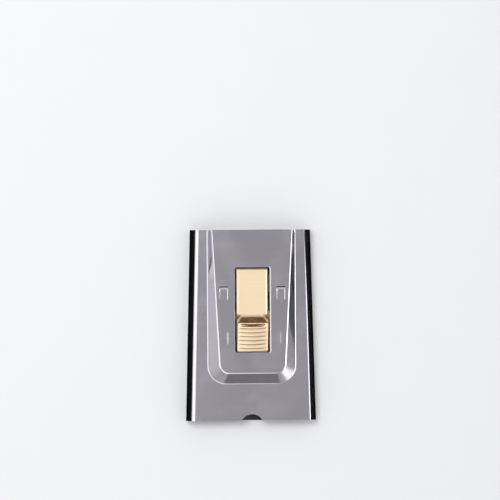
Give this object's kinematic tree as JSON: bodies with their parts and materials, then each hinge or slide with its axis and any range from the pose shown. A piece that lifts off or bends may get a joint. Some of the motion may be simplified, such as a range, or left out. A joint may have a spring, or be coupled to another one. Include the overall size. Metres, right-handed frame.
{
  "type": "ceramic hob scraper",
  "caption": "Flat pocket scraper for ceramic hobs: tapered pressed-steel case with rolled sides and a ribbed thumb slide in a raised channel that pushes a flat blade out of the mouth.",
  "frame": {"origin": "under the middle of the case, on the plane of its flat back", "axes": "+Y out of the mouth where the blade comes out, +X to the right seen from the thumb side, +Z out of the thumb side"},
  "size_m": [0.0482, 0.07, 0.0095],
  "materials": {
    "nickel_steel": "bright nickel plate over fine rolling grain",
    "zinc_steel": "plain zinc-plated sheet",
    "blade_steel": "ground carbon steel with a bright bevel",
    "spring_steel": "blued spring steel",
    "satin_gold": "satin pale gold plate"
  },
  "bodies": {
    "case": {"front_shell": "nickel_steel", "back_plate": "nickel_steel"},
    "carrier": {"blade_carrier": "zinc_steel", "blade": "blade_steel", "blade_clamp": "spring_steel", "blade_stud_left": "zinc_steel", "blade_stud_right": "zinc_steel", "clamp_rivet_left": "zinc_steel", "clamp_rivet_right": "zinc_steel", "latch_spring": "spring_steel"},
    "thumb": {"thumb_slide": "satin_gold"}
  },
  "joints": [
    {"name": "blade_slide", "type": "slide", "parent": "case", "child": "carrier", "axis": [0, 1, 0], "range_m": [0, 0.0168]},
    {"name": "thumb_press", "type": "slide", "parent": "carrier", "child": "thumb", "axis": [0, 0, -1], "range_m": [0, 0.0008], "stiffness_N_per_m": 2500, "deforming": ["latch_spring"]}
  ]
}
